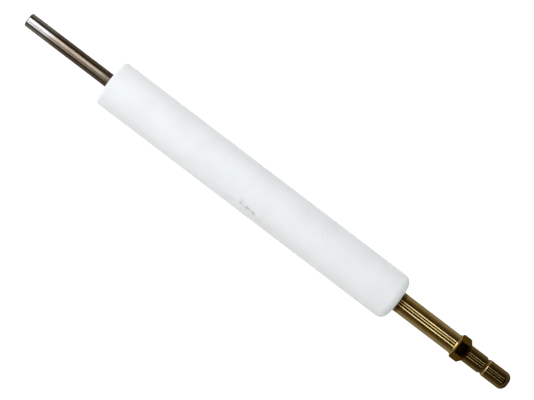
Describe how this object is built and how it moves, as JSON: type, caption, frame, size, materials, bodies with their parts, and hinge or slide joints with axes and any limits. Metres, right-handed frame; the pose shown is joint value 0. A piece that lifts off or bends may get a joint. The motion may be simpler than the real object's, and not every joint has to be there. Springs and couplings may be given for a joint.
{
  "type": "flame sensor probe",
  "caption": "Gas burner flame sensor probe: an alloy sensing rod in a white ceramic tube, with a grooved push-on brass terminal pin at the other end.",
  "frame": {"origin": "on the probe's axis, halfway along the ceramic tube", "axes": "+X along the axis towards the terminal pin, -X towards the sensing tip, +Z square to two flats of the hexagonal collar"},
  "size_m": [0.2012, 0.017, 0.017],
  "materials": {
    "ceramic": "matte",
    "rod_alloy": "satin",
    "brass": "satin",
    "cement": "matte",
    "spring_steel": "satin"
  },
  "bodies": {
    "root": {"insulator": "ceramic", "sensing_rod": "rod_alloy", "terminal": "brass", "front_cement": "cement", "seat_washer": "spring_steel", "front_disc_spring": "spring_steel", "rear_disc_spring": "spring_steel"}
  },
  "joints": []
}
